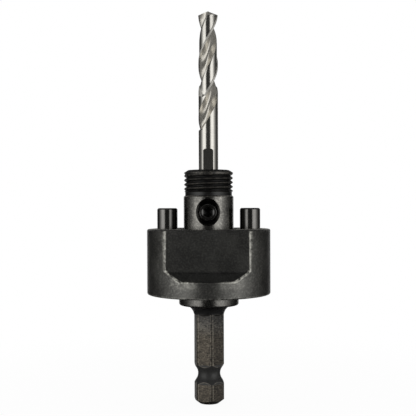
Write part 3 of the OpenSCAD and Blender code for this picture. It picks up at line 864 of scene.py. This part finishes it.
def drillTree():
    tree, g, given = ruleTree("twistDrill", [
        "Radius", "Lead", "Lip Turn", "Point Height", "Corner Height", "Cone Slope", "Lip Relief",
        "Flute End", "Stagger", "Run Out", "Land End", "Land Slant", "Slant From"])

    def stored(label):
        return g.node("GeometryNodeInputNamedAttribute", {"data_type": "FLOAT"}, {"Name": label})

    x, y, z = g.parts(g.node("GeometryNodeInputPosition"))
    land, side, behind = stored("onLand"), stored("side"), stored("behindLip")
    tip, onTip = stored("tipShare"), stored("onTip")
    full, runOut = given.out("Radius"), given.out("Run Out")
    r = (x * x + y * y).sqrt()
    # both flutes run out to the full radius, one above the other
    start = given.out("Flute End") + given.out("Stagger") * (1.0 - side)
    fluteLeft = 1.0 - (1.0 - ((z - start) / runOut).clamped()) ** 2.0
    # the ground-back land ends in a short step on a slant, higher towards its heel
    landEnd = given.out("Land End") + (behind - given.out("Slant From")).most(0.0) * given.out("Land Slant")
    landLeft = ((z - landEnd) / (runOut * 0.15)).clamped()
    share = landLeft * land + fluteLeft * (1.0 - land)
    inward = (full - (full - r) * share) * stored("buttShare") * (1.0 - tip)
    cone = given.out("Point Height") - inward * (given.out("Cone Slope") + given.out("Lip Relief") * behind)
    height = z * (1.0 - onTip) + cone * onTip
    twistHeight = height.most(given.out("Flute End")) - given.out("Corner Height")
    a = y.angle(x) + (given.out("Lip Turn") + twistHeight * (2 * math.pi) / given.out("Lead"))
    spot = g.vector(inward * a.cos(), inward * a.sin(), height)
    shaped = g.node("GeometryNodeSetPosition", {}, {"Geometry": given, "Position": spot})
    ruleEnd(g, shaped, given)
    return tree


def cornerHeight(d):
    return d["point"] - d["radius"] / math.tan(math.radians(d["pointAngle"] / 2))


def drillRod(d):
    # the straight rod from butt to point, with what the rule needs to know stored on its points
    section = drillSection(d)
    half = len(section)
    angles = np.concatenate([section[:, 0], section[:, 0] + 180])
    radii, kinds = np.tile(section[:, 1], 2), np.tile(section[:, 2], 2)
    gap, landTurn = 180 - d["landAngle"], math.radians(d["landAngle"])
    forward = section[:, 0]
    behind = np.tile(np.where(forward <= gap, forward / gap, (180 - forward) / d["landAngle"]) * landTurn, 2)
    corner, end = cornerHeight(d), d["point"] - d["fluteLength"]
    deepest = corner - d["radius"] * landTurn * math.tan(math.radians(d["lipRelief"])) - 0.15
    heights = [d["butt"], d["butt"] + d["buttEdge"]] + list(np.arange(d["butt"] + 2, end - 0.2, 2.0))
    heights += list(np.linspace(end, deepest, 190))
    shrink = [1 - d["buttEdge"] / d["radius"]] + [1.0] * (len(heights) - 1)
    tips = [0.0, 0.25, 0.5, 0.72, 0.88, 0.965]
    n, m = len(angles), len(heights) + len(tips)
    t = np.radians(angles)
    base = np.stack([radii * np.cos(t), radii * np.sin(t)], axis=1)
    rows = [np.column_stack([base, np.full(n, z)]) for z in heights + [corner] * len(tips)]
    points = np.vstack(rows + [[[0.0, 0.0, d["butt"]]]]) * mm
    faces = [(i * n + j, i * n + (j + 1) % n, (i + 1) * n + (j + 1) % n, (i + 1) * n + j)
             for i in range(m - 1) for j in range(n)]
    faces += [(m * n, (j + 1) % n, j) for j in range(n)]
    faces.append(tuple((m - 1) * n + j for j in range(n)))
    rod = meshObject("drillRod", points, faces)
    fields = {"onLand": np.tile(kinds, m), "side": np.tile(np.repeat([0.0, 1.0], half), m),
              "behindLip": np.tile(behind, m), "tipShare": np.repeat([0.0] * len(heights) + tips, n),
              "onTip": np.repeat([0.0] * len(heights) + [1.0] * len(tips), n),
              "buttShare": np.repeat(shrink + [1.0] * len(tips), n)}
    for label, values in fields.items():
        field = rod.data.attributes.new(label, "FLOAT", "POINT")
        field.data.foreach_set("value", np.append(values, 0.0).astype(np.float32))
    return rod, list(fields)


def flatCutter(d):
    # block with two rounded upper corners, for the clamping flat on the shank
    wide = math.sqrt(d["radius"] ** 2 - d["flatY"] ** 2) + 0.1
    c, top, low = d["flatCorner"], d["flatTop"], d["butt"] - 1
    outline = [(-wide, low), (wide, low)]
    for cx, first in ((wide - c, 0), (-wide + c, 90)):
        turns = np.radians(np.linspace(first, first + 90, 9))
        outline += [(cx + c * math.cos(q), top - c + c * math.sin(q)) for q in turns]
    k = len(outline)
    points = [(px * mm, -y * mm, pz * mm) for y in (d["flatY"], d["flatY"] + 1.5) for px, pz in outline]
    sides = [(i, (i + 1) % k, (i + 1) % k + k, i + k) for i in range(k)]
    return meshObject("flatCutter", points, [tuple(range(k))[::-1], tuple(range(k, 2 * k))] + sides)


def makeDrill(d):
    rod, fields = drillRod(d)
    twisted = geometryRule(rod, drillTree(), {
        "Radius": d["radius"] * mm, "Lead": d["lead"] * mm, "Lip Turn": math.radians(d["lipTurn"]),
        "Point Height": d["point"] * mm, "Corner Height": cornerHeight(d) * mm,
        "Cone Slope": 1 / math.tan(math.radians(d["pointAngle"] / 2)),
        "Lip Relief": math.tan(math.radians(d["lipRelief"])),
        "Flute End": (d["point"] - d["fluteLength"]) * mm, "Stagger": d["stagger"] * mm,
        "Run Out": d["runOut"] * mm, "Land End": (d["point"] - d["landLength"]) * mm,
        "Land Slant": d["landSlant"] * mm, "Slant From": d["slantFrom"], "Steel": drillSteel},
        "drillTwisted")
    made = cutAway(twisted, [flatCutter(d)], "pilotDrill")
    for label in fields:
        if label in made.data.attributes:
            made.data.attributes.remove(made.data.attributes[label])
    smooth(made, 28)
    return made


pilotDrill = makeDrill(drill)
print("drill", len(pilotDrill.data.polygons), "faces")


# detent: a coil spring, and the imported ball's own mesh with a finish

spring = {"coil": 1.05, "wire": 0.2, "turns": 3.0, "start": 4.4, "end": 6.4, "z": spindle["ballZ"]}
springSteel = brightSteel("springWire", {**drillLook, "bright": (0.35, 0.34, 0.33, 1), "rough": 0.3})
ballSteel = brightSteel("polishedBall", {**drillLook, "rough": 0.12})


def springTree():
    tree, g, given = ruleTree("coilSpring", ["Coil", "Wire", "Turns", "Length"])
    coil = given.out("Coil")
    path = g.node("GeometryNodeCurveSpiral", {}, {"Resolution": 32, "Rotations": given.out("Turns"),
                                                  "Start Radius": coil, "End Radius": coil,
                                                  "Height": given.out("Length")})
    ring = g.node("GeometryNodeCurvePrimitiveCircle", {}, {"Resolution": 12, "Radius": given.out("Wire")})
    wire = g.node("GeometryNodeCurveToMesh", {}, {"Curve": path, "Profile Curve": ring, "Fill Caps": True})
    ruleEnd(g, wire, given)
    return tree


def makeSpring(s):
    seed = meshObject("springSeed", [(0, 0, 0)], [])
    made = geometryRule(seed, springTree(), {
        "Coil": s["coil"] * mm, "Wire": s["wire"] * mm, "Turns": s["turns"],
        "Length": (s["end"] - s["start"]) * mm, "Steel": springSteel}, "detentSpring")
    laidAlongY(made, -90, s["start"], s["z"])
    smooth(made, 40)
    return made


detentSpring = makeSpring(spring)
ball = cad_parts["detent_ball"]
ball.data.materials.clear()
ball.data.materials.append(ballSteel)
print("detent made")


# what moves with what

for piece, body, nodes, slotName in (
        (arborSpindle, "spindle", ["spindle"], "black_oxide_steel"),
        (detentSpring, "spindle", ["detent_spring"], "spring_steel"),
        (driveCollar, "collar", ["drive_collar"], "black_oxide_collar"),
        (leftPin, "collar", ["drive_pin_left"], "pin_steel"),
        (rightPin, "collar", ["drive_pin_right"], "pin_steel"),
        (setScrew, "screw", ["set_screw"], "screw_steel"),
        (pilotDrill, "drill", ["pilot_drill"], "bright_drill_steel")):
    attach(piece, body)
    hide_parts(*nodes)


# studio: sizes in metres, angles in degrees

studio = {
    "lampGlow": 0.6, "lampReach": 0.55, "lampAngle": 44.5, "lampWide": 0.35, "lampTall": 0.52,
    "lampHeight": 0.06, "fill": 0.75, "floorShow": 0.95, "floorHalf": 3.0, "floorDrop": 0.0002,
    "wallRadius": 0.75, "wallLow": -0.351, "wallHigh": 0.331,
    "lowCard": -0.35, "lowShare": 0.07, "roofCard": 0.33, "roofShare": 0.11,
    # what reflections find around the object: degrees from the camera's side, brightness
    "surround": [(0, 0.03), (24, 0.055), (30, 0.5), (45, 0.66), (60, 0.66), (64, 0.95), (73, 0.64),
                 (88, 0.23), (105, 0.075), (126, 0.025), (150, 0.03), (155, 0.8), (161, 0.8), (166, 0.08),
                 (180, 0.05)],
}


def plainMaterial(name, colour):
    material, g = newMaterial(name)
    base = g.node("ShaderNodeBsdfDiffuse", {}, {"Color": colour})
    g.node("ShaderNodeOutputMaterial", {}, {"Surface": base})
    return material


def seenRays(g):
    rays = g.node("ShaderNodeLightPath", {}, {}, out="Is Camera Ray")
    return rays.most(rays.out("Is Glossy Ray")).most(rays.out("Is Transmission Ray"))


def floorMaterial(s):
    # white to the camera, fully so away from the object; near it the object's shadow shows through
    material, g = newMaterial("paleFloor")
    x, y = axes(g, g.objectPlace())[:2]
    share = (x * x + y * y).sqrt().ramp(50.0, 160.0, s["floorShow"], 1.0)
    base = g.node("ShaderNodeBsdfDiffuse", {}, {"Color": (0.93, 0.93, 0.93, 1)})
    glow = g.node("ShaderNodeEmission", {}, {"Color": (1, 1, 1, 1), "Strength": 1.0})
    mixed = g.node("ShaderNodeMixShader", {}, {0: seenRays(g) * share, 1: base, 2: glow})
    g.node("ShaderNodeOutputMaterial", {}, {"Surface": mixed})
    return material


def onlyReflected(thing):
    thing.visible_camera = thing.visible_diffuse = thing.visible_shadow = thing.visible_transmission = False


def makeFloor(s):
    half, z = s["floorHalf"], -s["floorDrop"]
    corners = [(-half, -half, z), (half, -half, z), (half, half, z), (-half, half, z)]
    floor = meshObject("paleFloor", corners, [(0, 1, 2, 3)], floorMaterial(s))
    floor.visible_glossy = False
    # cards under and over the part, for the faces that look down or up
    for label, shareLabel in (("lowCard", "lowShare"), ("roofCard", "roofShare")):
        height, share = s[label] / mm, s[shareLabel]
        path = [(1, height), (s["wallRadius"] / mm + 10, height)]
        card = plainMaterial(label, (share, share, share, 1))
        onlyReflected(turned(label, path, evenAngles(48), material=card))


def makeSurround(s):
    # a round wall whose brightness changes with the angle from the camera's side
    material, g = newMaterial("surround")
    x, y = axes(g, g.objectPlace())[:2]
    turn = abs(x.angle(-y)) / math.pi
    stops = [(a / 180, (v, v, v, 1)) for a, v in s["surround"]]
    glow = g.node("ShaderNodeValToRGB", {"stops": stops}, {0: turn})
    shine = g.node("ShaderNodeEmission", {}, {"Color": glow, "Strength": 1.0})
    g.node("ShaderNodeOutputMaterial", {}, {"Surface": shine})
    points, faces, steps = [], [], 96
    for i in range(steps):
        t = 2 * math.pi * i / steps
        across, back = s["wallRadius"] * math.sin(t), -s["wallRadius"] * math.cos(t)
        points += [(across, back, s["wallLow"]), (across, back, s["wallHigh"])]
        j = (i + 1) % steps
        faces.append((2 * i, 2 * j, 2 * j + 1, 2 * i + 1))
    onlyReflected(meshObject("surround", points, faces, material))


def makeLamp(name, s, side):
    data = bpy.data.lights.new(name, "AREA")
    data.shape, data.size, data.size_y = "RECTANGLE", s["lampWide"], s["lampTall"]
    data.energy = s["lampGlow"] * math.pi * s["lampWide"] * s["lampTall"]
    lamp = bpy.data.objects.new(name, data)
    t, height = math.radians(side * s["lampAngle"]), s["lampHeight"]
    lamp.location = (s["lampReach"] * math.sin(t), -s["lampReach"] * math.cos(t), height)
    lamp.rotation_euler = (Vector((0, 0, height)) - lamp.location).to_track_quat("-Z", "Y").to_euler()
    lamp.visible_camera = False
    bpy.context.scene.collection.objects.link(lamp)


def makeWorld(s):
    world = bpy.data.worlds.new("paleRoom")
    bpy.context.scene.world = world
    world.use_nodes = True
    world.node_tree.nodes.clear()
    g = Graph(world.node_tree)
    strength = seenRays(g).ramp(0.0, 1.0, s["fill"], 1.0, smooth=False)
    sky = g.node("ShaderNodeBackground", {}, {"Color": (1, 1, 1, 1), "Strength": strength})
    g.node("ShaderNodeOutputWorld", {}, {"Surface": sky})


makeFloor(studio)
makeSurround(studio)
makeLamp("leftSoftbox", studio, -1)
makeLamp("rightSoftbox", studio, 1)
makeWorld(studio)
print("studio made")


# camera: pixel places in the photographed view, angles in degrees

shot = {"imagePx": 416, "focalPx": 800.0, "horizonY": 204.0, "endY": 402.5, "axisX": 208.6,
        "scale": 0.3255 * mm, "roll": -0.2, "aside": 1.6}


def makeCamera(s):
    data = bpy.data.cameras.new("studioCamera")
    data.sensor_width = 36
    data.lens = s["focalPx"] / s["imagePx"] * data.sensor_width
    camera = bpy.data.objects.new("studioCamera", data)
    distance = s["focalPx"] * s["scale"]
    height = (s["endY"] - s["horizonY"]) * s["scale"]
    side = (s["imagePx"] / 2 - s["axisX"]) * s["scale"]
    tilt = math.atan((s["imagePx"] / 2 - s["horizonY"]) / s["focalPx"])
    stand = Matrix.Rotation(math.radians(s["aside"]), 4, "Z") @ Matrix.Translation((side, -distance, height))
    aim = Matrix.Rotation(math.radians(90) - tilt, 4, "X") @ Matrix.Rotation(math.radians(s["roll"]), 4, "Z")
    camera.matrix_world = stand @ aim
    data.clip_start, data.clip_end = 0.01, 20
    bpy.context.scene.collection.objects.link(camera)
    bpy.context.scene.camera = camera


makeCamera(shot)
bpy.context.scene.view_settings.view_transform = "Standard"
